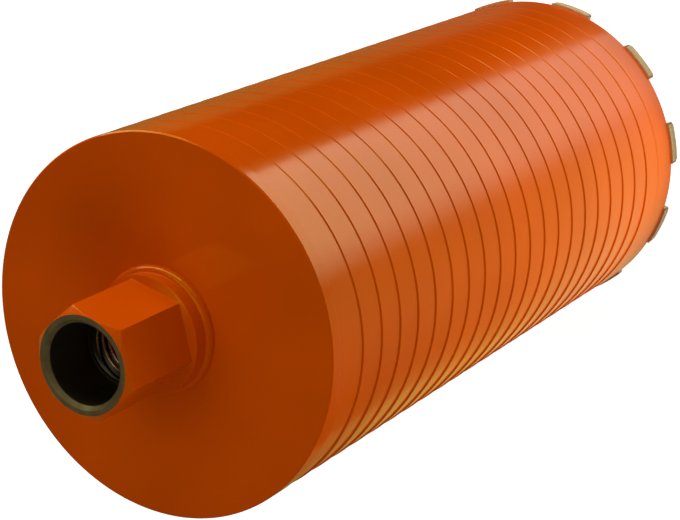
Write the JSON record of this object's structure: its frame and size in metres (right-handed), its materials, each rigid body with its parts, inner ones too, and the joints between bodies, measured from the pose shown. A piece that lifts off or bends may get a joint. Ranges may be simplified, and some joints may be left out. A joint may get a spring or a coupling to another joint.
{
  "type": "diamond core bit",
  "caption": "Tube with a helical relief, closed at one end by a flush plate that carries a hexagonal threaded hub, and set with curved abrasive segments round its open rim.",
  "frame": {"origin": "centre of the ring of segment crowns on which the bit stands", "axes": "+Z along the bit's axis, from the cutting segments to the hub's mouth; +X lies one degree before the middle of the first segment"},
  "size_m": [0.1643, 0.165, 0.4065],
  "materials": {
    "paint": "glossy orange paint on steel",
    "bond": "matt sintered metal bond with diamond grit",
    "bare_steel": "dark turned steel, unpainted, at the hub's mouth and thread"
  },
  "bodies": {
    "root": {"barrel": "paint", "end_plate": "paint", "hub": "paint", "hub_weld": "paint", "segment_01": "bond", "segment_02": "bond", "segment_03": "bond", "segment_04": "bond", "segment_05": "bond", "segment_06": "bond", "segment_07": "bond", "segment_08": "bond", "segment_09": "bond", "segment_10": "bond", "segment_11": "bond"}
  },
  "joints": []
}
